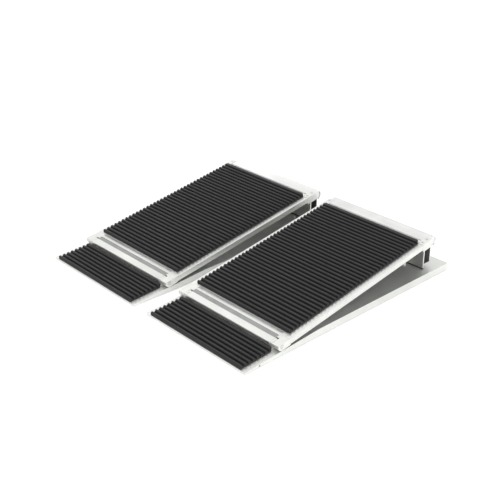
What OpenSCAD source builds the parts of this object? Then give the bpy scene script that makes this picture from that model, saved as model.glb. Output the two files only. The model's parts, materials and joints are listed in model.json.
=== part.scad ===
// Portable two-track wheelchair ramp. Each track is a wedge-fronted base tray with a ribbed deck
// that is hinged near the front and held up at the rear by a fold-away leg.
// X runs across the ramp, Y along the travel direction (front lip at -Y), Z up, floor at Z = 0.

/* [Tracks] */
// Width of one track
track_w = 300; // [220:1:420]
// Free gap between the two tracks
track_gap = 43; // [5:1:400]

/* [Base tray] */
// Length of the base tray
base_l = 610; // [560:1:800]
// Free length of the tray behind the leg
rear_margin = 42; // [20:1:80]
// Height of the flat rear part of the tray
base_h = 18; // [16:0.5:26]
// Thickness of the front lip
lip_h = 5; // [3:0.5:8]
// Length of the sloping front part of the tray
wedge_l = 195; // [150:1:260]
// Sheet thickness of the tray
sheet_t = 3; // [1.5:0.5:4]
// Width of the return flanges under the tray's edges
return_w = 12; // [8:1:20]
// Thickness of the rubber grip strips
strip_t = 1; // [0.8:0.1:3]
// Where the grip strips begin, from the front edge
strip_y = 30; // [15:1:60]
// Width of a stiffening channel under the tray
stiffener_w = 24; // [15:1:40]
// Distance of the outer channels' middle from the tray's sides
stiffener_inset = 65; // [45:1:80]

/* [Ribbed mats] */
// Thickness of the mat under its ribs
mat_base_t = 3; // [2:0.1:6]
// Height of the ribs
rib_h = 4.4; // [2:0.1:8]
// Width of a rib at its root
rib_w = 6.8; // [5:0.1:8.5]
// Width of a rib at its crest
rib_crest_w = 4; // [2:0.1:4.8]
// Distance from rib to rib
rib_pitch = 10.7; // [9:0.1:16]
// Radius of the mats' rear corners
mat_corner_r = 9; // [3:0.5:15]
// Approach mat: distance from the tray's side
approach_margin = 13.5; // [8:0.5:25]
// Approach mat: distance from the front edge
approach_y = 1; // [0.5:0.5:12]

/* [Deck] */
// Height of the deck's upper rear edge above the floor
rise = 102; // [90:1:125]
// Height of the deck's surface above the hinge line
deck_top = 4.6; // [4.4:0.1:6]
// Height of a side rail
rail_h = 12.2; // [10:0.1:16]
// Width of a side rail's top flange
rail_w = 12.3; // [9:0.1:20]
// Thickness of rail walls and of the deck panel
deck_t = 3; // [2:0.1:4]
// Distance from the hinge to the front of the deck mat
mat_front = 32.7; // [30:0.1:40]
// Length of the rear profile's flat part
rear_flat_l = 34.5; // [22:0.5:38]
// Radius of the rear nose
nose_r = 12; // [8:0.5:14]
// Wall of the rear nose
nose_t = 2.5; // [2:0.1:3.5]
// Distance from the rear nose's ends to the track's sides
nose_inset = 5; // [2:0.5:12]
// Width of a rear corner block
corner_w = 16; // [13:0.5:17]
// Length of a rear corner block
corner_l = 31; // [25:0.5:35]
// Depth of a rear corner block below the hinge line
corner_drop = 12.5; // [9:0.5:14]
// How far a corner block stands above the deck
corner_proud = 0.7; // [0.2:0.1:2]

/* [Front profile] */
// Radius of the rounded front nose
barrel_r = 9.3; // [8:0.1:9.3]
// Distance from the hinge to the anti-slip channel
channel_front = 7.8; // [6:0.1:9]
// Width of the anti-slip channel
channel_w = 10.5; // [8:0.1:11]
// Depth of the anti-slip channel
channel_d = 1.7; // [1.2:0.1:2]
// Width of the raised lip behind the channel
lip_w = 6; // [4:0.1:7]
// Drop of the step behind the lip
step_d = 2; // [0.5:0.1:2.5]

/* [Hinges] */
// Distance of the deck hinge from the front edge
hinge_y = 95; // [90:0.5:110]
// Height of the deck hinge
hinge_z = 21.2; // [21.2:0.1:26]
// Radius of a deck hinge pin
pin_r = 3.2; // [2.4:0.1:3.4]
// Width of an end block
end_block_w = 18; // [15:0.5:20]
// Width of a hinge lug
lug_w = 6.5; // [5:0.1:9]
// Radius of the leg's hinge pin
leg_pin_r = 2.5; // [2:0.1:3]
// Wall around the leg's hinge pin
knuckle_wall = 2.1; // [1.5:0.1:2.4]

/* [Leg] */
// Depth of the leg tube along the travel direction
leg_d = 25; // [20:0.5:26]
// Height of the leg tube
leg_h = 51; // [40:0.5:52]
// Wall of the leg tube
leg_t = 3; // [2:0.1:4]
// Distance from the leg's ends to the track's sides
leg_inset = 18.5; // [17.5:0.5:30]
// Distance of the leg's front face ahead of the deck's upper rear edge
leg_setback = 20; // [16:0.5:24]
// Distance of the rest studs from the track's sides
stud_inset = 60; // [45:1:90]
// Distance of the rest studs ahead of the leg's front face
stud_ahead = 11; // [11:0.5:60]
// Height of a rest stud
stud_h = 4; // [2:0.5:4]

/* [Clearances] */
// Radial clearance of a turning pin in its bore
pin_clear = 0.05; // [0.02:0.01:0.1]
// Side gap between pieces that move past each other
side_clear = 0.4; // [0.3:0.1:1]
// Gap under a piece that rests on another one
rest_clear = 0.3; // [0.2:0.05:0.5]

/* [Hidden] */
$fn = 48;
half_w = track_w / 2;
track_x = (track_w + track_gap) / 2;
wedge_a = atan((base_h - lip_h) / wedge_l);
stiffener_pitch = half_w - stiffener_inset;

// Deck: its length and slope follow from where its upper rear edge lies above the leg
leg_y = base_l - rear_margin - leg_d;
deck_run = leg_y + leg_setback - hinge_y;
deck_lift = rise - hinge_z;
deck_l = sqrt(deck_run * deck_run + deck_lift * deck_lift - deck_top * deck_top);
deck_a = atan(deck_lift / deck_run) - atan(deck_top / deck_l);
under = deck_top - deck_t;

// Approach mat: it ends just ahead of the rounded nose
approach_l = hinge_y - barrel_r - approach_y - side_clear;

// Front profile, end blocks and lugs, from the hinge rearwards
lip_front = channel_front + channel_w;
step_front = lip_front + lip_w;
rail_front = 22;
block_x = half_w - end_block_w;
lug_x = block_x - side_clear - lug_w;
profile_x = lug_x - side_clear;
rail_x = half_w - rail_w;
rail_bottom = deck_top - rail_h;
pin_ring_w = 1;
pin_ring_d = 1.2;
insert_t = 1;

// Rear profile and corner blocks
nose_u = deck_l - nose_r;
nose_sweep = 78;
notch_sweep = 30;
nose_notch_x = half_w - leg_inset + 1;
nose_cap_t = 2;
nose_cap_x = half_w - nose_inset - 1.5;
rear_front = nose_u - rear_flat_l;
corner_x = half_w - corner_w;
corner_rear = nose_u - 8;
corner_front = corner_rear - corner_l;
corner_screw_inset = 8;
mat_l = rear_front - mat_front;
groove_front = rear_front + 4.5;
groove_w = 5.5;
groove_d = 1.2;

// Leg: its pin lies a little behind the tube's middle, so that the hanging leg rests on its stop
leg_x = half_w - leg_inset;
knuckle_r = leg_pin_r + knuckle_wall;
leg_pin_y = leg_y + leg_d / 2 + 0.5;
leg_face = leg_pin_y - leg_y;
deck_under_z = hinge_z + (leg_pin_y - hinge_y) * tan(deck_a) + under / cos(deck_a);
leg_pin_z = deck_under_z - (leg_face + side_clear) / cos(deck_a) - rest_clear;
leg_top = leg_pin_z - knuckle_r - rest_clear;
leg_bottom = leg_top - leg_h;
foot_t = 3.5;
foot_pad_h = 2.4;
ear_w = 5;
ear_x = leg_x - 19.5;
arm_w = 6;
stud_r = 3;
stud_x = half_w - stud_inset;
stud_y = leg_y - stud_ahead;

// Fasteners and small parts
screw_r = 2;
screw_head_r = 3.6;
screw_head_h = 1.6;
rivet_r = 2.4;
rivet_h = 0.9;
rivet_pitch = 60;
bush_y = 37;
bush_z = 4.4;
bush_r = 1.8;
bush_l = 6;

ALU = [0.88, 0.89, 0.87];
ALU_DARK = [0.62, 0.63, 0.63];
RUBBER = [0.09, 0.09, 0.10];
STEEL = [0.72, 0.73, 0.74];
PLASTIC = [0.85, 0.85, 0.82];

// ---------- frames and helpers ----------

// Height of the tray's upper surface at a distance y from the front edge
function tray_top(y) = y < wedge_l ? lip_h + (base_h - lip_h) * y / wedge_l : base_h;

// Puts one track's pieces in place; its own +X points to the outside of the ramp
module on_track(side) {
  translate([side * track_x, -base_l / 2, 0])
    mirror([side < 0 ? 1 : 0, 0, 0]) children();
}

// Deck frame: origin on the hinge line, Y up the deck, Z square to it
module on_deck() {
  translate([0, hinge_y, hinge_z]) rotate([deck_a, 0, 0]) children();
}

// Wedge frame: origin on the sloping surface at distance y from the front edge
module on_wedge(y) {
  translate([0, y, tray_top(y)]) rotate([wedge_a, 0, 0]) children();
}

// Extrudes a Y-Z outline across X from x0 to x1
module across(x0, x1) {
  translate([x0, 0, 0]) rotate([90, 0, 90]) linear_extrude(x1 - x0) children();
}

// A round bar along X
module bar(x0, x1, r) {
  translate([x0, 0, 0]) rotate([0, 90, 0]) cylinder(h = x1 - x0, r = r);
}

module both_ends() {
  for (end = [0, 1]) mirror([end, 0, 0]) children();
}

// ---------- base body ----------

// Outline of the tray's side
module tray_outline() {
  polygon([
    [0, 0], [0, lip_h], [wedge_l, base_h], [base_l, base_h],
    [base_l, strip_t], [strip_y, strip_t], [strip_y, 0]
  ]);
}

// Space under the sheet, above the height low, from front to rear
module tray_hollow(low, front, rear) {
  polygon([
    [front, low], [front, tray_top(front) - sheet_t], [wedge_l, base_h - sheet_t],
    [rear, base_h - sheet_t], [rear, low]
  ]);
}

module base_pan() {
  thick_y = wedge_l * (strip_t + 2 * sheet_t + 0.5 - lip_h) / (base_h - lip_h);
  color(ALU) difference() {
    across(-half_w, half_w) tray_outline();
    across(-(half_w - sheet_t), half_w - sheet_t)
      tray_hollow(strip_t + sheet_t, thick_y, base_l - sheet_t);
    across(-(half_w - return_w), half_w - return_w)
      tray_hollow(-1, thick_y, base_l - return_w);
    both_ends() lug_screw_shanks(screw_r);
    both_ends() rest_stud(stud_r);
    translate([0, bush_y, bush_z]) bar(half_w - bush_l, half_w + 1, bush_r);
  }
}

module base_stiffeners() {
  front = wedge_l + 10;
  rear = base_l - return_w - 3;
  color(ALU_DARK) for (i = [-1, 0, 1])
    translate([i * stiffener_pitch, front, strip_t]) difference() {
      translate([-stiffener_w / 2, 0, 0])
        cube([stiffener_w, rear - front, base_h - sheet_t - strip_t]);
      translate([-stiffener_w / 2 + 2, -1, 2])
        cube([stiffener_w - 4, rear - front + 2, base_h]);
    }
}

module grip_strips() {
  edge = 2.5;
  length = base_l - strip_y - 2 * edge;
  color(RUBBER) {
    both_ends() translate([half_w - return_w + 1, strip_y + edge, 0])
      cube([return_w - 1 - edge, length, strip_t]);
    for (i = [-1, 0, 1])
      translate([i * stiffener_pitch - stiffener_w / 2 + 2, wedge_l + 20, 0])
        cube([stiffener_w - 4, base_l - wedge_l - 50, strip_t]);
  }
}

// Side outline of a ribbed mat of length l, lying on the Y axis; the last rib is wider, so that
// it ends with the mat
module ribbed_outline(l) {
  last = floor((l - rib_w) / rib_pitch);
  slope_w = (rib_w - rib_crest_w) / 2;
  root = mat_base_t;
  crest = mat_base_t + rib_h;
  polygon(concat(
    [[0, 0]],
    [for (i = [0 : last]) let(end = i < last ? i * rib_pitch + rib_w : l) each [
      [i * rib_pitch, root],
      [i * rib_pitch + slope_w, crest],
      [end - slope_w, crest],
      [end, root]
    ]],
    [[l, 0]]
  ));
}

// A ribbed mat with rounded rear corners
module ribbed_mat(half, l) {
  tall = mat_base_t + rib_h + 2;
  intersection() {
    across(-half, half) ribbed_outline(l);
    translate([0, 0, -1]) linear_extrude(tall) union() {
      translate([-half, 0]) square([2 * half, l - mat_corner_r]);
      translate([-half + mat_corner_r, 0]) square([2 * (half - mat_corner_r), l]);
      for (s = [-1, 1]) translate([s * (half - mat_corner_r), l - mat_corner_r])
        circle(r = mat_corner_r);
    }
  }
}

module approach_mat() {
  color(RUBBER) on_wedge(approach_y)
    ribbed_mat(half_w - approach_margin, approach_l);
}

// Outline of a hinge lug: round about the pin, flush with the deck, standing on the wedge
module lug_outline() {
  r = barrel_r - side_clear;
  intersection() {
    union() {
      translate([hinge_y, hinge_z]) circle(r = r);
      translate([hinge_y - r, 0]) square([2 * r, hinge_z]);
    }
    polygon([
      [hinge_y - r, tray_top(hinge_y - r)],
      [hinge_y + r, tray_top(hinge_y + r)],
      [hinge_y + r, hinge_z + deck_top / cos(deck_a) + r * tan(deck_a)],
      [hinge_y - r, hinge_z + deck_top / cos(deck_a) - r * tan(deck_a)]
    ]);
  }
}

module lug_screw_shanks(r) {
  for (dy = [-6, 6])
    on_wedge(hinge_y + dy)
      translate([lug_x + lug_w / 2, 0, -sheet_t - screw_head_h])
        cylinder(h = sheet_t + screw_head_h + 4, r = r);
}

module hinge_lugs() {
  color(ALU) both_ends() difference() {
    across(lug_x, lug_x + lug_w) lug_outline();
    translate([0, hinge_y, hinge_z]) bar(lug_x - 1, lug_x + lug_w + 1, pin_r + pin_clear);
    lug_screw_shanks(screw_r);
  }
}

module lug_screws() {
  seat = sheet_t * cos(wedge_a);
  color(STEEL) both_ends() for (dy = [-6, 6])
    on_wedge(hinge_y + dy) translate([lug_x + lug_w / 2, 0, 0]) {
      translate([0, 0, -seat - screw_head_h]) cylinder(h = screw_head_h, r = screw_r + 1.1);
      translate([0, 0, -seat - 0.1]) cylinder(h = seat + 3.9, r = screw_r);
    }
}

module rest_stud(r) {
  translate([stud_x, stud_y, base_h - sheet_t]) cylinder(h = sheet_t + stud_h, r = r);
}

module rest_studs() {
  color(PLASTIC) both_ends() rest_stud(stud_r);
}

module side_bush() {
  color(RUBBER) translate([0, bush_y, bush_z]) bar(half_w - bush_l, half_w, bush_r);
}

// ---------- deck body ----------

module deck_panel() {
  color(ALU_DARK) on_deck() translate([-rail_x, mat_front, under])
    cube([2 * rail_x, mat_l, deck_t]);
}

module deck_stiffeners() {
  rear_share = 0.82;
  front = mat_front + 12;
  rear = mat_front + rear_share * mat_l;
  depth = 8;
  wall = 2;
  color(ALU_DARK) on_deck() for (i = [-1, 0, 1])
    translate([i * stiffener_pitch, front, under - depth]) difference() {
      translate([-stiffener_w / 2, 0, 0]) cube([stiffener_w, rear - front, depth]);
      translate([-stiffener_w / 2 + wall, -1, wall])
        cube([stiffener_w - 2 * wall, rear - front + 2, depth]);
    }
}

// Side rail: a top flange beside the mat and an outer wall
module side_rail() {
  length = corner_front - rail_front;
  color(ALU) on_deck() {
    translate([rail_x, rail_front, under]) cube([rail_w, length, deck_t]);
    translate([half_w - deck_t, rail_front, rail_bottom]) cube([deck_t, length, rail_h]);
  }
}

module outer_rail() {
  side_rail();
}

module inner_rail() {
  mirror([1, 0, 0]) side_rail();
}

// Cross-section of the front profile: round nose, channel, raised lip and step
module front_section() {
  difference() {
    union() {
      intersection() {
        circle(r = barrel_r);
        translate([-barrel_r - 1, -barrel_r - 1])
          square([2 * barrel_r + 2, barrel_r + 1 + deck_top]);
      }
      translate([0, rail_bottom]) square([mat_front, rail_h]);
    }
    translate([channel_front, deck_top - channel_d]) square([channel_w, channel_d + 1]);
    translate([step_front, deck_top - step_d]) square([mat_front, step_d + 1]);
    translate([barrel_r + 1, rail_bottom + deck_t])
      square([mat_front - barrel_r - deck_t - 1, rail_h - channel_d - 2 * deck_t + 0.4]);
  }
}

module front_profile() {
  color(ALU) on_deck() difference() {
    across(-profile_x, profile_x) front_section();
    both_ends() bar(profile_x - 16, profile_x + 1, pin_r);
  }
}

module channel_insert() {
  gap = 0.2;
  color(ALU_DARK) on_deck()
    translate([-profile_x + gap, channel_front + gap, deck_top - channel_d])
      cube([2 * (profile_x - gap), channel_w - 2 * gap, insert_t]);
}

// End block: a cheek rounded about the hinge pin, with a foot that closes the front profile's end
module end_block() {
  step_front_u = barrel_r + 2;
  color(ALU) on_deck() difference() {
    union() {
      across(block_x, half_w) {
        intersection() {
          circle(r = barrel_r);
          translate([-barrel_r - 1, -barrel_r - 1])
            square([2 * barrel_r + 2, barrel_r + 1 + deck_top]);
        }
        translate([0, -barrel_r]) square([rail_front, barrel_r + deck_top]);
      }
      translate([profile_x, step_front_u, rail_bottom])
        cube([rail_x - profile_x, mat_front - step_front_u, rail_h]);
    }
    bar(block_x - 1, half_w + 1, pin_r);
    difference() {
      bar(half_w - pin_ring_d, half_w + 1, pin_r + pin_ring_w);
      bar(half_w - pin_ring_d - 1, half_w + 2, pin_r);
    }
  }
}

module outer_end_block() {
  end_block();
}

module inner_end_block() {
  mirror([1, 0, 0]) end_block();
}

module hinge_pins() {
  color(STEEL) on_deck() both_ends() bar(profile_x - 15, half_w - 0.2, pin_r);
}

// Cross-section of the rear profile: flat part with a groove, then a hollow rounded nose
// that curls down to the angle sweep below the horizontal
module rear_section(sweep) {
  difference() {
    union() {
      translate([rear_front, under]) square([nose_u - rear_front + 0.1, deck_t]);
      translate([nose_u, deck_top - nose_r]) intersection() {
        circle(r = nose_r);
        polygon([[0, 0], [0, 2 * nose_r], [2 * nose_r, 2 * nose_r], [2 * nose_r, -2 * nose_r],
                 [2 * nose_r / tan(sweep), -2 * nose_r]]);
      }
    }
    translate([nose_u, deck_top - nose_r]) circle(r = nose_r - nose_t);
    translate([groove_front, deck_top - groove_d]) square([groove_w, groove_d + 1]);
  }
}

module rear_profile() {
  color(ALU) on_deck() {
    across(-nose_notch_x, nose_notch_x) rear_section(notch_sweep);
    both_ends() {
      across(nose_notch_x, corner_x) rear_section(nose_sweep);
      intersection() {
        union() {
          across(corner_x, half_w - nose_inset) rear_section(nose_sweep);
          translate([0, nose_u, deck_top - nose_r])
            bar(nose_cap_x - nose_cap_t, nose_cap_x, nose_r - nose_t / 2);
        }
        translate([0, corner_rear, -2 * nose_r]) cube([half_w, 4 * nose_r, 4 * nose_r]);
      }
    }
  }
}

module corner_block() {
  color(ALU) on_deck() difference() {
    union() {
      translate([rail_x, corner_front, -corner_drop])
        cube([rail_w, corner_l, corner_drop + deck_top + corner_proud]);
      translate([corner_x, rear_front, -corner_drop])
        cube([corner_w, corner_rear - rear_front, corner_drop + deck_top + corner_proud]);
    }
    corner_screw_holes();
  }
}

// Two screws through a corner block's upper face
module corner_screw_holes() {
  for (u = [corner_front + corner_screw_inset, corner_rear - corner_screw_inset])
    translate([corner_x + corner_w / 2, u, deck_top + corner_proud - screw_head_h]) {
      cylinder(h = screw_head_h + 1, r = screw_head_r);
      translate([0, 0, -6]) cylinder(h = 7, r = screw_r);
    }
}

module outer_corner_block() {
  corner_block();
}

module inner_corner_block() {
  mirror([1, 0, 0]) corner_block();
}

module corner_screws() {
  top = deck_top + corner_proud;
  color(STEEL) on_deck() both_ends() for (u = [corner_front + corner_screw_inset, corner_rear - corner_screw_inset])
    translate([corner_x + corner_w / 2, u, top - screw_head_h]) difference() {
      union() {
        cylinder(h = screw_head_h - 0.3, r = screw_head_r);
        translate([0, 0, -6]) cylinder(h = 7, r = screw_r);
      }
      translate([0, 0, 0.4]) cylinder(h = 3, r = 1.4, $fn = 6);
    }
}

// Rivet heads in a row under each side of the panel
module panel_rivets() {
  count = floor((mat_l - 40) / rivet_pitch);
  color(STEEL) on_deck() both_ends() for (i = [0 : count])
    translate([rail_x - 8, mat_front + 20 + i * rivet_pitch, under - rivet_h])
      cylinder(h = rivet_h, r = rivet_r);
}

module deck_mat() {
  color(RUBBER) on_deck() translate([0, mat_front, deck_top]) ribbed_mat(rail_x, mat_l);
}

// Ears under the rear profile that carry the leg's pin
module leg_ears() {
  color(ALU_DARK) both_ends() difference() {
    intersection() {
      across(ear_x, ear_x + ear_w) {
        translate([leg_pin_y, leg_pin_z]) circle(r = knuckle_r);
        translate([leg_pin_y - knuckle_r, leg_pin_z])
          square([2 * knuckle_r, 2 * nose_r]);
      }
      on_deck() across(0, half_w) {
        translate([0, under - 4 * nose_r]) square([nose_u, 4 * nose_r]);
        translate([nose_u, deck_top - nose_r]) circle(r = nose_r - nose_t);
        translate([nose_u - 1, under - 4 * nose_r])
          square([nose_r - nose_t, 4 * nose_r - nose_r + deck_t]);
      }
    }
    translate([0, leg_pin_y, leg_pin_z]) bar(ear_x - 1, ear_x + ear_w + 1, leg_pin_r + pin_clear);
  }
}

// ---------- leg body ----------

module leg_tube() {
  flange_bottom = base_h + rest_clear + foot_pad_h;
  color(ALU) difference() {
    union() {
      translate([-leg_x, leg_y, leg_bottom]) cube([2 * leg_x, leg_d, leg_h]);
      translate([-leg_x, leg_y, flange_bottom])
        cube([2 * leg_x, foot_t, leg_bottom - flange_bottom + 1]);
    }
    translate([-leg_x - 1, leg_y + foot_t, leg_bottom + leg_t])
      cube([2 * leg_x + 2, leg_d - foot_t - leg_t, leg_h - 2 * leg_t]);
  }
}

module leg_arms() {
  color(ALU_DARK) both_ends() for (x = [ear_x - side_clear - arm_w, ear_x + ear_w + side_clear])
    difference() {
      across(x, x + arm_w) {
        translate([leg_pin_y, leg_pin_z]) circle(r = knuckle_r);
        translate([leg_pin_y - knuckle_r, leg_top])
          square([2 * knuckle_r, leg_pin_z - leg_top]);
      }
      translate([0, leg_pin_y, leg_pin_z]) bar(x - 1, x + arm_w + 1, leg_pin_r);
    }
}

module leg_pin() {
  reach = ear_x + ear_w + side_clear + arm_w + 2;
  color(STEEL) translate([0, leg_pin_y, leg_pin_z]) bar(-reach, reach, leg_pin_r);
}

module leg_foot() {
  color(RUBBER) translate([-leg_x, leg_y, base_h + rest_clear])
    cube([2 * leg_x, foot_t, foot_pad_h]);
}

// ---------- the two tracks ----------

LEFT = -1;
RIGHT = 1;

module left_base_pan() on_track(LEFT) base_pan();
module left_base_stiffeners() on_track(LEFT) base_stiffeners();
module left_grip_strips() on_track(LEFT) grip_strips();
module left_approach_mat() on_track(LEFT) approach_mat();
module left_hinge_lugs() on_track(LEFT) hinge_lugs();
module left_lug_screws() on_track(LEFT) lug_screws();
module left_rest_studs() on_track(LEFT) rest_studs();
module left_side_bush() on_track(LEFT) side_bush();
module left_deck_panel() on_track(LEFT) deck_panel();
module left_deck_stiffeners() on_track(LEFT) deck_stiffeners();
module left_inner_rail() on_track(LEFT) inner_rail();
module left_outer_rail() on_track(LEFT) outer_rail();
module left_front_profile() on_track(LEFT) front_profile();
module left_channel_insert() on_track(LEFT) channel_insert();
module left_inner_end_block() on_track(LEFT) inner_end_block();
module left_outer_end_block() on_track(LEFT) outer_end_block();
module left_hinge_pins() on_track(LEFT) hinge_pins();
module left_rear_profile() on_track(LEFT) rear_profile();
module left_inner_corner_block() on_track(LEFT) inner_corner_block();
module left_outer_corner_block() on_track(LEFT) outer_corner_block();
module left_corner_screws() on_track(LEFT) corner_screws();
module left_panel_rivets() on_track(LEFT) panel_rivets();
module left_deck_mat() on_track(LEFT) deck_mat();
module left_leg_ears() on_track(LEFT) leg_ears();
module left_leg_tube() on_track(LEFT) leg_tube();
module left_leg_arms() on_track(LEFT) leg_arms();
module left_leg_pin() on_track(LEFT) leg_pin();
module left_leg_foot() on_track(LEFT) leg_foot();
module right_base_pan() on_track(RIGHT) base_pan();
module right_base_stiffeners() on_track(RIGHT) base_stiffeners();
module right_grip_strips() on_track(RIGHT) grip_strips();
module right_approach_mat() on_track(RIGHT) approach_mat();
module right_hinge_lugs() on_track(RIGHT) hinge_lugs();
module right_lug_screws() on_track(RIGHT) lug_screws();
module right_rest_studs() on_track(RIGHT) rest_studs();
module right_side_bush() on_track(RIGHT) side_bush();
module right_deck_panel() on_track(RIGHT) deck_panel();
module right_deck_stiffeners() on_track(RIGHT) deck_stiffeners();
module right_inner_rail() on_track(RIGHT) inner_rail();
module right_outer_rail() on_track(RIGHT) outer_rail();
module right_front_profile() on_track(RIGHT) front_profile();
module right_channel_insert() on_track(RIGHT) channel_insert();
module right_inner_end_block() on_track(RIGHT) inner_end_block();
module right_outer_end_block() on_track(RIGHT) outer_end_block();
module right_hinge_pins() on_track(RIGHT) hinge_pins();
module right_rear_profile() on_track(RIGHT) rear_profile();
module right_inner_corner_block() on_track(RIGHT) inner_corner_block();
module right_outer_corner_block() on_track(RIGHT) outer_corner_block();
module right_corner_screws() on_track(RIGHT) corner_screws();
module right_panel_rivets() on_track(RIGHT) panel_rivets();
module right_deck_mat() on_track(RIGHT) deck_mat();
module right_leg_ears() on_track(RIGHT) leg_ears();
module right_leg_tube() on_track(RIGHT) leg_tube();
module right_leg_arms() on_track(RIGHT) leg_arms();
module right_leg_pin() on_track(RIGHT) leg_pin();
module right_leg_foot() on_track(RIGHT) leg_foot();

left_base_pan();
left_base_stiffeners();
left_grip_strips();
left_approach_mat();
left_hinge_lugs();
left_lug_screws();
left_rest_studs();
left_side_bush();
left_deck_panel();
left_deck_stiffeners();
left_inner_rail();
left_outer_rail();
left_front_profile();
left_channel_insert();
left_inner_end_block();
left_outer_end_block();
left_hinge_pins();
left_rear_profile();
left_inner_corner_block();
left_outer_corner_block();
left_corner_screws();
left_panel_rivets();
left_deck_mat();
left_leg_ears();
left_leg_tube();
left_leg_arms();
left_leg_pin();
left_leg_foot();
right_base_pan();
right_base_stiffeners();
right_grip_strips();
right_approach_mat();
right_hinge_lugs();
right_lug_screws();
right_rest_studs();
right_side_bush();
right_deck_panel();
right_deck_stiffeners();
right_inner_rail();
right_outer_rail();
right_front_profile();
right_channel_insert();
right_inner_end_block();
right_outer_end_block();
right_hinge_pins();
right_rear_profile();
right_inner_corner_block();
right_outer_corner_block();
right_corner_screws();
right_panel_rivets();
right_deck_mat();
right_leg_ears();
right_leg_tube();
right_leg_arms();
right_leg_pin();
right_leg_foot();
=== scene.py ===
import json
import math
import random

import bmesh
import bpy
from mathutils import Matrix, Vector


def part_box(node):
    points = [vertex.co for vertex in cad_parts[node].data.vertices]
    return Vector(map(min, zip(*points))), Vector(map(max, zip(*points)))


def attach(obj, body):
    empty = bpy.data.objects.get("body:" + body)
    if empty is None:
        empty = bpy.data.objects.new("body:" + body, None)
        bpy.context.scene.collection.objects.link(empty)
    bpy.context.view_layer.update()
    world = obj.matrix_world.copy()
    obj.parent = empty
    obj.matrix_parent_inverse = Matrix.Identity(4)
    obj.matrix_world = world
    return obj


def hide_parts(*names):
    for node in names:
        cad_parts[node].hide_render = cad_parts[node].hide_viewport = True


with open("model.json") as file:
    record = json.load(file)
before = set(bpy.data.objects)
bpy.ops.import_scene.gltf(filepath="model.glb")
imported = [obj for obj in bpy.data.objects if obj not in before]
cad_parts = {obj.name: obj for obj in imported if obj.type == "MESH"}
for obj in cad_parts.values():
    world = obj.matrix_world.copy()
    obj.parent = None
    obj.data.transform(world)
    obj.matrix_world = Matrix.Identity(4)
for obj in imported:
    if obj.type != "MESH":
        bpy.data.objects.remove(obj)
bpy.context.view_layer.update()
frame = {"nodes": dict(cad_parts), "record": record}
MM = 0.001
SIDES = ("left", "right")


# ---------- node helpers ----------

def new_material(name):
    material = bpy.data.materials.new(name)
    material.use_nodes = True
    nodes, links = material.node_tree.nodes, material.node_tree.links
    return material, nodes, links, nodes["Principled BSDF"]


def coordinates(nodes, links, scale):
    """Object coordinates in metres, times a scale per axis: a texture keeps its real size."""
    where = nodes.new("ShaderNodeTexCoord")
    mapping = nodes.new("ShaderNodeMapping")
    mapping.inputs["Scale"].default_value = scale
    links.new(where.outputs["Object"], mapping.inputs["Vector"])
    return mapping.outputs["Vector"]


def noise(nodes, links, vector, scale, detail=3.0, roughness=0.55):
    texture = nodes.new("ShaderNodeTexNoise")
    texture.inputs["Scale"].default_value = scale
    texture.inputs["Detail"].default_value = detail
    texture.inputs["Roughness"].default_value = roughness
    links.new(vector, texture.inputs["Vector"])
    return texture.outputs["Fac"]


def ramp(nodes, links, source, stops):
    """A colour ramp; each stop is a position and a grey value or a colour."""
    node = nodes.new("ShaderNodeValToRGB")
    elements = node.color_ramp.elements
    while len(elements) < len(stops):
        elements.new(0.5)
    for element, (place, value) in zip(elements, stops):
        element.position = place
        colour = value if isinstance(value, tuple) else (value, value, value)
        element.color = (*colour, 1.0)
    links.new(source, node.inputs["Fac"])
    return node.outputs["Color"]


def mix(nodes, links, factor, first, second, blend="MIX"):
    node = nodes.new("ShaderNodeMix")
    node.data_type = "RGBA"
    node.blend_type = blend
    colour_inputs = [s for s in node.inputs if s.type == "RGBA"]
    for socket, value in zip(colour_inputs, (first, second)):
        if isinstance(value, tuple):
            socket.default_value = (*value, 1.0)
        else:
            links.new(value, socket)
    if isinstance(factor, float):
        node.inputs[0].default_value = factor
    else:
        links.new(factor, node.inputs[0])
    return next(s for s in node.outputs if s.type == "RGBA")


def bump(nodes, links, layers, shader):
    """Bumps the shader's normal once for each layer of (height, strength, distance)."""
    normal = None
    for height, strength, distance in layers:
        node = nodes.new("ShaderNodeBump")
        node.inputs["Strength"].default_value = strength
        node.inputs["Distance"].default_value = distance
        links.new(height, node.inputs["Height"])
        if normal is not None:
            links.new(normal, node.inputs["Normal"])
        normal = node.outputs["Normal"]
    links.new(normal, shader.inputs["Normal"])


# ---------- materials ----------

def aluminium(name, colour, roughness, grain_axis, metallic=0.9, grain=0.5):
    """Satin aluminium: drawing lines along one axis, a cloudy sheen and faint handling marks."""
    material, nodes, links, shader = new_material(name)
    stretch = [1.0, 1.0, 1.0]
    stretch["XYZ".index(grain_axis)] = 0.012
    lines = noise(nodes, links, coordinates(nodes, links, stretch), 2200.0, 4.0, 0.6)
    clouds = noise(nodes, links, coordinates(nodes, links, (1, 1, 1)), 14.0, 4.0)
    specks = noise(nodes, links, coordinates(nodes, links, (1, 1, 1)), 900.0, 2.0)
    darker = tuple(c * 0.90 for c in colour)
    tint = ramp(nodes, links, clouds, [(0.30, darker), (0.72, colour)])
    line_tone = ramp(nodes, links, lines, [(0.35, 0.93), (0.65, 1.0)])
    links.new(mix(nodes, links, 1.0, tint, line_tone, "MULTIPLY"), shader.inputs["Base Color"])
    low, high = roughness - 0.07, roughness + 0.09
    marks = ramp(nodes, links, clouds, [(0.25, low), (0.75, high)])
    fine = ramp(nodes, links, specks, [(0.40, 0.92), (0.60, 1.0)])
    links.new(mix(nodes, links, 1.0, marks, fine, "MULTIPLY"), shader.inputs["Roughness"])
    shader.inputs["Metallic"].default_value = metallic
    shader.inputs["Anisotropic"].default_value = 0.35
    bump(nodes, links, [(lines, grain, 0.00003), (specks, 0.25, 0.00002)], shader)
    return material


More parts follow.
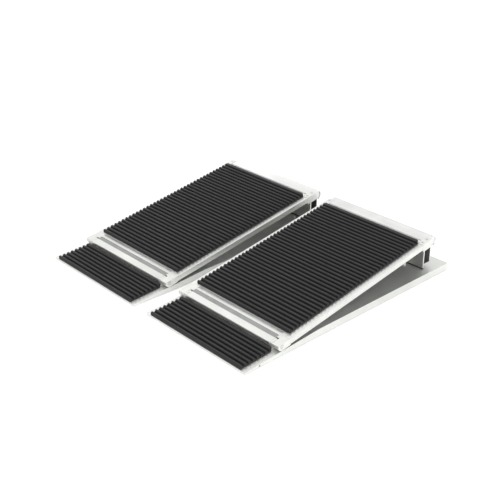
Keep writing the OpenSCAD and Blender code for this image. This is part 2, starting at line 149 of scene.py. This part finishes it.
def mat_rubber():
    """Ribbed rubber: moulded grain; crests lighter for scuffing, grooves darker as painted shade,
    side walls lighter as painted light.
    """
    material, nodes, links, shader = new_material("mat_rubber_look")
    grain = noise(nodes, links, coordinates(nodes, links, (1, 1, 1)), 1900.0, 3.0)
    patches = noise(nodes, links, coordinates(nodes, links, (1, 1, 1)), 16.0, 5.0)
    streaks = noise(nodes, links, coordinates(nodes, links, (0.12, 1, 1)), 260.0, 4.0)
    crest = nodes.new("ShaderNodeAttribute")
    crest.attribute_name = "crest"
    # Lighter on the crests for scuffing; darker down the flanks and in the grooves, a painted
    # shade.
    crest_wear_and_groove_shade = ramp(nodes, links, crest.outputs["Fac"], [(0.55, 0.0), (1.0, 1.0)])
    patchy = ramp(nodes, links, patches, [(0.30, 0.45), (0.70, 1.0)])
    streaky = ramp(nodes, links, streaks, [(0.35, 0.65), (0.65, 1.0)])
    amount = mix(nodes, links, 1.0, crest_wear_and_groove_shade, patchy, "MULTIPLY")
    amount = mix(nodes, links, 1.0, amount, streaky, "MULTIPLY")
    links.new(
        mix(nodes, links, amount, (0.0075, 0.0078, 0.0086), (0.030, 0.030, 0.0315)),
        shader.inputs["Base Color"])
    links.new(
        ramp(nodes, links, patches, [(0.25, 0.52), (0.75, 0.68)]), shader.inputs["Roughness"])
    shader.inputs["Specular IOR Level"].default_value = 0.34
    bump(nodes, links, [(grain, 0.45, 0.00006), (streaks, 0.20, 0.00010)], shader)
    return material


def grip_rubber():
    """Plain matt rubber with a fine moulded grain."""
    material, nodes, links, shader = new_material("grip_rubber_look")
    grain = noise(nodes, links, coordinates(nodes, links, (1, 1, 1)), 1500.0, 3.0)
    patches = noise(nodes, links, coordinates(nodes, links, (1, 1, 1)), 40.0, 3.0)
    links.new(
        ramp(nodes, links, patches, [(0.3, (0.010, 0.010, 0.011)), (0.7, (0.018, 0.018, 0.018))]),
        shader.inputs["Base Color"])
    links.new(ramp(nodes, links, grain, [(0.3, 0.62), (0.7, 0.78)]), shader.inputs["Roughness"])
    bump(nodes, links, [(grain, 0.5, 0.00008)], shader)
    return material


def grey_insert():
    """Anti-slip strip: a grey binder with fine grit."""
    material, nodes, links, shader = new_material("grey_insert_look")
    vector = coordinates(nodes, links, (1, 1, 1))
    grit = nodes.new("ShaderNodeTexVoronoi")
    grit.inputs["Scale"].default_value = 1100.0
    links.new(vector, grit.inputs["Vector"])
    shade = noise(nodes, links, vector, 60.0, 4.0)
    tone = ramp(nodes, links, shade, [(0.3, (0.25, 0.255, 0.25)), (0.7, (0.31, 0.315, 0.31))])
    speck = ramp(nodes, links, grit.outputs["Distance"], [(0.1, 0.78), (0.6, 1.08)])
    links.new(mix(nodes, links, 1.0, tone, speck, "MULTIPLY"), shader.inputs["Base Color"])
    links.new(ramp(nodes, links, shade, [(0.3, 0.60), (0.7, 0.76)]), shader.inputs["Roughness"])
    bump(nodes, links, [(grit.outputs["Distance"], 0.6, 0.00015)], shader)
    return material


def steel():
    """Zinc-plated steel with a faint spangle."""
    material, nodes, links, shader = new_material("steel_look")
    vector = coordinates(nodes, links, (1, 1, 1))
    spangle = nodes.new("ShaderNodeTexVoronoi")
    spangle.inputs["Scale"].default_value = 700.0
    links.new(vector, spangle.inputs["Vector"])
    scratches = noise(nodes, links, coordinates(nodes, links, (0.1, 1, 1)), 1800.0, 4.0)
    links.new(
        ramp(nodes, links, spangle.outputs["Distance"],
             [(0.1, (0.50, 0.51, 0.52)), (0.8, (0.66, 0.67, 0.68))]),
        shader.inputs["Base Color"])
    links.new(ramp(nodes, links, scratches, [(0.3, 0.24), (0.7, 0.40)]), shader.inputs["Roughness"])
    shader.inputs["Metallic"].default_value = 1.0
    bump(nodes, links, [(scratches, 0.3, 0.00002)], shader)
    return material


def pale_plastic():
    """Moulded off-white plastic."""
    material, nodes, links, shader = new_material("pale_plastic_look")
    vector = coordinates(nodes, links, (1, 1, 1))
    patches = noise(nodes, links, vector, 220.0, 3.0)
    grain = noise(nodes, links, vector, 2400.0, 2.0)
    links.new(
        ramp(nodes, links, patches, [(0.3, (0.66, 0.66, 0.60)), (0.7, (0.74, 0.74, 0.69))]),
        shader.inputs["Base Color"])
    links.new(ramp(nodes, links, patches, [(0.3, 0.38), (0.7, 0.50)]), shader.inputs["Roughness"])
    shader.inputs["Subsurface Weight"].default_value = 0.05
    bump(nodes, links, [(grain, 0.3, 0.00004)], shader)
    return material


BRIGHT = (0.73, 0.74, 0.715)
DULL = (0.66, 0.665, 0.66)
LOOKS = {
    "tray": aluminium("tray_look", BRIGHT, 0.44, "Y", 0.75),
    "along": aluminium("rail_look", BRIGHT, 0.38, "Y"),
    "across": aluminium("profile_look", BRIGHT, 0.36, "X"),
    "cast": aluminium("block_look", (0.74, 0.745, 0.72), 0.48, "Z", 0.75, 0.2),
    # The rear profile is the front profile's aluminium painted lighter: painted light on its top.
    "rear": aluminium("rear_profile_lit_look", (0.78, 0.785, 0.77), 0.36, "X"),
    "mill": aluminium("mill_look", DULL, 0.46, "Y", 0.95),
    # A dark copy of the aluminium for the leg tube's inside: painted shade.
    "bore": aluminium("bore_painted_shade_look", (0.16, 0.16, 0.158), 0.60, "X", 0.6),
    "steel": steel(),
    "mat": mat_rubber(),
    "grip": grip_rubber(),
    "insert": grey_insert(),
    "plastic": pale_plastic(),
}

# The look of each piece of a track, and the width of its edges' rounding in millimetres.
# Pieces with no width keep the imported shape.
PIECES = {
    "base_pan": ("tray", 0.7),
    "base_stiffeners": ("mill", None),
    "grip_strips": ("grip", None),
    "hinge_lugs": ("cast", 0.3),
    "lug_screws": ("steel", None),
    "rest_studs": ("plastic", 0.8),
    "side_bush": ("grip", None),
    "deck_panel": ("mill", None),
    "deck_stiffeners": ("mill", None),
    "inner_rail": ("along", 0.7),
    "outer_rail": ("along", 0.7),
    "front_profile": ("across", 0.4),
    "channel_insert": ("insert", None),
    "inner_end_block": ("cast", 0.45),
    "outer_end_block": ("cast", 0.45),
    "hinge_pins": ("steel", None),
    "rear_profile": ("rear", 0.35),
    "inner_corner_block": ("cast", 0.7),
    "outer_corner_block": ("cast", 0.7),
    "corner_screws": ("steel", None),
    "panel_rivets": ("steel", None),
    "leg_ears": ("mill", None),
    "leg_tube": ("across", 0.5),
    "leg_arms": ("mill", None),
    "leg_pin": ("steel", None),
    "leg_foot": ("grip", None),
}


# ---------- shapes ----------

MERGE_DISTANCE = 0.002 * MM
FLAT_ANGLE = math.radians(1.0)
BEVEL_ANGLE = math.radians(32.0)
BEVEL_SEGMENTS = 2


def body_of(node):
    bodies = frame["record"]["behaviour"]["bodies"]
    return next(body for body, members in bodies.items() if node in members)


def slot_of(node):
    return next(s["material_slot"] for s in frame["record"]["subparts"] if s["node"] == node)


def place(piece, node, look):
    """Gives a new piece its material and body, looks up its node's material slot, and hides the
    node it stands for.
    """
    piece.data.materials.clear()
    piece.data.materials.append(LOOKS[look])
    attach(piece, body_of(node))
    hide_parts(node)
    slot_of(node)


def new_piece(bm, node):
    """Turns a bmesh into a smooth-shaded object named after its node."""
    mesh = bpy.data.meshes.new(node + "_shape")
    bm.to_mesh(mesh)
    bm.free()
    mesh.shade_smooth()
    piece = bpy.data.objects.new(node + "_piece", mesh)
    bpy.context.scene.collection.objects.link(piece)
    return piece


def rounded_copy(node, width):
    """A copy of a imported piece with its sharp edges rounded."""
    bm = bmesh.new()
    bm.from_mesh(frame["nodes"][node].data)
    bmesh.ops.remove_doubles(bm, verts=bm.verts, dist=MERGE_DISTANCE)
    bmesh.ops.dissolve_limit(
        bm, angle_limit=FLAT_ANGLE, verts=bm.verts, edges=bm.edges, use_dissolve_boundaries=False)
    sharp = [e for e in bm.edges if len(e.link_faces) == 2 and e.calc_face_angle() > BEVEL_ANGLE]
    bmesh.ops.bevel(
        bm, geom=sharp, offset=width, offset_type="OFFSET", segments=BEVEL_SEGMENTS, profile=0.5,
        affect="EDGES", clamp_overlap=True)
    bmesh.ops.recalc_face_normals(bm, faces=bm.faces)
    piece = new_piece(bm, node)
    normals = piece.modifiers.new("even_normals", "WEIGHTED_NORMAL")
    normals.keep_sharp = True
    return piece


# The mats' sizes, as in the CAD: thickness under the ribs, a rib's width at its root, the
# distance from rib to rib, and the radii of the corners
MAT_BASE = 3.0 * MM
RIB_WIDTH = 6.8 * MM
RIB_PITCH = 10.7 * MM
REAR_CORNER = 9.0 * MM
FRONT_CORNER = 1.5 * MM
# How a rib rounds off: the reach of its flanks and of its ends, and how steeply both begin
CREST_ROUND = 2.5 * MM
END_ROUND = 1.1 * MM
FLANK_POWER = 0.62
CREST_ANGLE = math.radians(38.0)
# Where a rib is sampled: across a flank from its root, and inwards from the mat's side
FLANK_STEPS = [s * MM for s in (0.0, 0.12, 0.4, 0.85, 1.5, 2.3)] + [RIB_WIDTH / 2]
END_STEPS = [e * MM for e in (0.0, 0.05, 0.2, 0.5, 0.8, 1.1)]
SPANS = 10
# The side walls are painted nearly as light as the crests, a painted light: their crest value, and
# how far in they reach
LIT_SIDE_TONE = 0.9
SIDE_WALL = 0.1 * MM
# The crests' unevenness: its greatest depth, and the rise from which a point is part of a crest
CREST_SAG = 0.07 * MM
CREST_FROM = 0.95
MAT_SEED = 11


def rounded_rise(distance, reach):
    """From 0 at an edge to 1 at reach inside it: steep first, then rounding off."""
    return math.sin(math.pi / 2 * min(1.0, max(0.0, distance / reach))) ** FLANK_POWER


def mat_axes(node):
    """Up the mat and square to it, from the CAD mat's flat underside."""
    mesh = frame["nodes"][node].data
    lowest = max(mesh.polygons, key=lambda p: p.area if p.normal.z < -0.5 else 0.0)
    square = -lowest.normal
    up_slope = square.cross(Vector((1.0, 0.0, 0.0))).normalized()
    return up_slope, square


def mat_rows(length):
    """Rows up the mat, as place and rise: each rib's outline; the last rib ends with the mat."""
    flank = [(s, rounded_rise(s, CREST_ROUND)) for s in FLANK_STEPS]
    last_rib = math.floor((length - RIB_WIDTH) / RIB_PITCH)
    rows = []
    for i in range(last_rib + 1):
        start = i * RIB_PITCH
        end = start + RIB_WIDTH if i < last_rib else length
        rows += [(start + s, h) for s, h in flank]
        rows += [(end - s, h) for s, h in reversed(flank[:-1])]
    return rows


def mat_columns(w):
    """Columns across a mat of half width w: close together at the rib ends, wide apart between."""
    inner = w - END_STEPS[-1]
    columns = [-w + e for e in END_STEPS]
    columns += [-inner + 2 * inner * k / SPANS for k in range(1, SPANS)]
    return columns + [w - e for e in reversed(END_STEPS)]


def corner_inset(y, length):
    """How far the mat's rounded corners draw in its side at y."""
    if y > length - REAR_CORNER:
        return REAR_CORNER - math.sqrt(
            max(0.0, REAR_CORNER ** 2 - (y - length + REAR_CORNER) ** 2))
    if y < FRONT_CORNER:
        return FRONT_CORNER - math.sqrt(FRONT_CORNER ** 2 - (FRONT_CORNER - y) ** 2)
    return 0.0


def close_mat(bm, grid, foot):
    """Faces over the grid's top, down its four sides and across its underside."""
    for a, b in zip(grid, grid[1:]):
        for k in range(len(a) - 1):
            bm.faces.new((a[k], a[k + 1], b[k + 1], b[k]))
    last = len(grid) - 1
    feet = [[foot(v) for v in line] if i in (0, last) else [foot(line[0]), foot(line[-1])]
            for i, line in enumerate(grid)]
    for i in range(last):
        bm.faces.new((grid[i][0], grid[i + 1][0], feet[i + 1][0], feet[i][0]))
        bm.faces.new((grid[i][-1], feet[i][-1], feet[i + 1][-1], grid[i + 1][-1]))
        bm.faces.new((*feet[i], *reversed(feet[i + 1])))
    for i in (0, last):
        line, under = grid[i], feet[i]
        for k in range(len(line) - 1):
            quad = (line[k], under[k], under[k + 1], line[k + 1])
            bm.faces.new(quad if i == 0 else tuple(reversed(quad)))
    bmesh.ops.recalc_face_normals(bm, faces=bm.faces)


def ribbed_mat(node, seed):
    """A ribbed mat as one closed mesh: rounded crests, rounded rib ends and rounded corners."""
    rng = random.Random(seed)
    up_slope, square = mat_axes(node)
    points = [v.co for v in frame["nodes"][node].data.vertices]
    y0, y1 = (f(p.dot(up_slope) for p in points) for f in (min, max))
    z0, z1 = (f(p.dot(square) for p in points) for f in (min, max))
    low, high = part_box(node)
    half, middle, length = (high.x - low.x) / 2, (high.x + low.x) / 2, y1 - y0
    rib_height = z1 - z0 - MAT_BASE

    bm = bmesh.new()
    crest_layer = bm.verts.layers.float.new("crest")

    def vertex(x, y, z, crest):
        made = bm.verts.new(Vector((middle + x, 0, 0)) + up_slope * (y0 + y) + square * (z0 + z))
        made[crest_layer] = crest
        return made

    def foot(v):
        drop = v.co.dot(square) - z0
        made = bm.verts.new(v.co - square * drop)
        # The mat's lower edges get the painted side light too.
        made[crest_layer] = LIT_SIDE_TONE
        return made

    grid = []
    for y, rise in mat_rows(length):
        w = half - corner_inset(y, length)
        line = []
        for x in mat_columns(w):
            height = rise * rounded_rise(w - abs(x), END_ROUND)
            sag = rng.uniform(-CREST_SAG, 0.0) if height > CREST_FROM else 0.0
            # Side walls get the painted side light; elsewhere the rise sets the tone, and with it
            # the grooves' painted shade.
            tone = LIT_SIDE_TONE if abs(x) > w - SIDE_WALL else height
            line.append(vertex(x, y, MAT_BASE + rib_height * height + sag, tone))
        grid.append(line)
    close_mat(bm, grid, foot)
    piece = new_piece(bm, node)
    piece.data.set_sharp_from_angle(angle=CREST_ANGLE)
    return piece


# The painted shade on the leg tube's inside begins this far inside its outer faces, and above its
# foot
BORE_MARGIN = 1.0 * MM
BORE_FLOOR = 8.0 * MM


def paint_bore_shade(piece):
    """Paints shade on the leg tube's inside: the faces between its walls get the dark look."""
    mesh = piece.data
    mesh.materials.append(LOOKS["bore"])
    low = Vector([min(v.co[k] for v in mesh.vertices) for k in range(3)])
    high = Vector([max(v.co[k] for v in mesh.vertices) for k in range(3)])
    for face in mesh.polygons:
        centre = face.center
        looks_across = abs(face.normal.x) < 0.5
        between_walls = low.y + BORE_MARGIN < centre.y < high.y - BORE_MARGIN
        below_top = low.z + BORE_FLOOR < centre.z < high.z - BORE_MARGIN
        if looks_across and between_walls and below_top:
            face.material_index = 1


for number, side in enumerate(SIDES):
    for part, (look, width) in PIECES.items():
        name = f"{side}_{part}"
        if width is None:
            data = frame["nodes"][name].data
            data.materials.clear()
            data.materials.append(LOOKS[look])
        else:
            piece = rounded_copy(name, width * MM)
            place(piece, name, look)
            if part == "leg_tube":
                paint_bore_shade(piece)
    for part in ("approach_mat", "deck_mat"):
        name = f"{side}_{part}"
        place(ribbed_mat(name, MAT_SEED + number), name, "mat")


# ---------- floor, light and camera ----------

FLOOR_SIZE = 30.0
FLOOR_GAP = 0.5 * MM
FLOOR_GLOW = 0.25
DAYLIGHT = 0.94


def studio_floor():
    """A wide, almost white floor, just below the strips that the tracks stand on."""
    bpy.ops.mesh.primitive_plane_add(size=FLOOR_SIZE, location=(0, 0, -FLOOR_GAP))
    floor = bpy.context.object
    floor.name = "studio_floor"
    material, nodes, links, shader = new_material("floor_look")
    tone = noise(nodes, links, coordinates(nodes, links, (1, 1, 1)), 0.8, 2.0)
    links.new(
        ramp(nodes, links, tone, [(0.2, (0.93, 0.93, 0.93)), (0.8, (0.95, 0.95, 0.95))]),
        shader.inputs["Base Color"])
    shader.inputs["Roughness"].default_value = 0.9
    shader.inputs["Specular IOR Level"].default_value = 0.1
    shader.inputs["Emission Color"].default_value = (1.0, 1.0, 1.0, 1.0)
    shader.inputs["Emission Strength"].default_value = FLOOR_GLOW
    floor.data.materials.append(material)


def area_light(name, place_at, aim_at, size, power):
    data = bpy.data.lights.new(name, "AREA")
    data.shape = "SQUARE"
    data.size = size
    data.energy = power
    lamp = bpy.data.objects.new(name, data)
    lamp.location = place_at
    lamp.rotation_euler = (Vector(aim_at) - Vector(place_at)).to_track_quat("-Z", "Y").to_euler()
    bpy.context.scene.collection.objects.link(lamp)


def studio_light():
    """Even daylight, and three soft lamps: overhead, low at the right and low behind."""
    world = bpy.data.worlds.new("studio")
    bpy.context.scene.world = world
    world.use_nodes = True
    background = world.node_tree.nodes["Background"]
    background.inputs["Color"].default_value = (1.0, 1.0, 0.995, 1.0)
    background.inputs["Strength"].default_value = DAYLIGHT
    area_light("soft_overhead", (-0.3, 0.3, 2.2), (0.0, 0.0, 0.0), 2.4, 14.0)
    area_light("low_side", (2.2, -0.9, 0.35), (0.0, 0.15, 0.05), 1.2, 30.0)
    area_light("low_back", (-2.4, 1.5, 0.7), (0.0, 0.1, 0.05), 1.6, 12.0)


def camera():
    """The viewing angle, distance and lens; the aim point lies on the floor."""
    azimuth, elevation, roll = math.radians(47.45), math.radians(26.63), math.radians(-0.19)
    distance, aim = 2.202, Vector((-0.0512, 0.0508, 0.0))
    back = Vector((
        math.sin(azimuth) * math.cos(elevation),
        -math.cos(azimuth) * math.cos(elevation),
        math.sin(elevation)))
    data = bpy.data.cameras.new("camera")
    data.sensor_width = 36.0
    data.lens = 68.16
    data.clip_start = 0.05
    cam = bpy.data.objects.new("camera", data)
    turn = (-back).to_track_quat("-Z", "Y").to_matrix() @ Matrix.Rotation(roll, 3, "Z")
    cam.matrix_world = Matrix.Translation(aim + back * distance) @ turn.to_4x4()
    bpy.context.scene.collection.objects.link(cam)
    bpy.context.scene.camera = cam


studio_floor()
studio_light()
camera()
bpy.context.scene.view_settings.view_transform = "Standard"
bpy.context.scene.view_settings.look = "None"
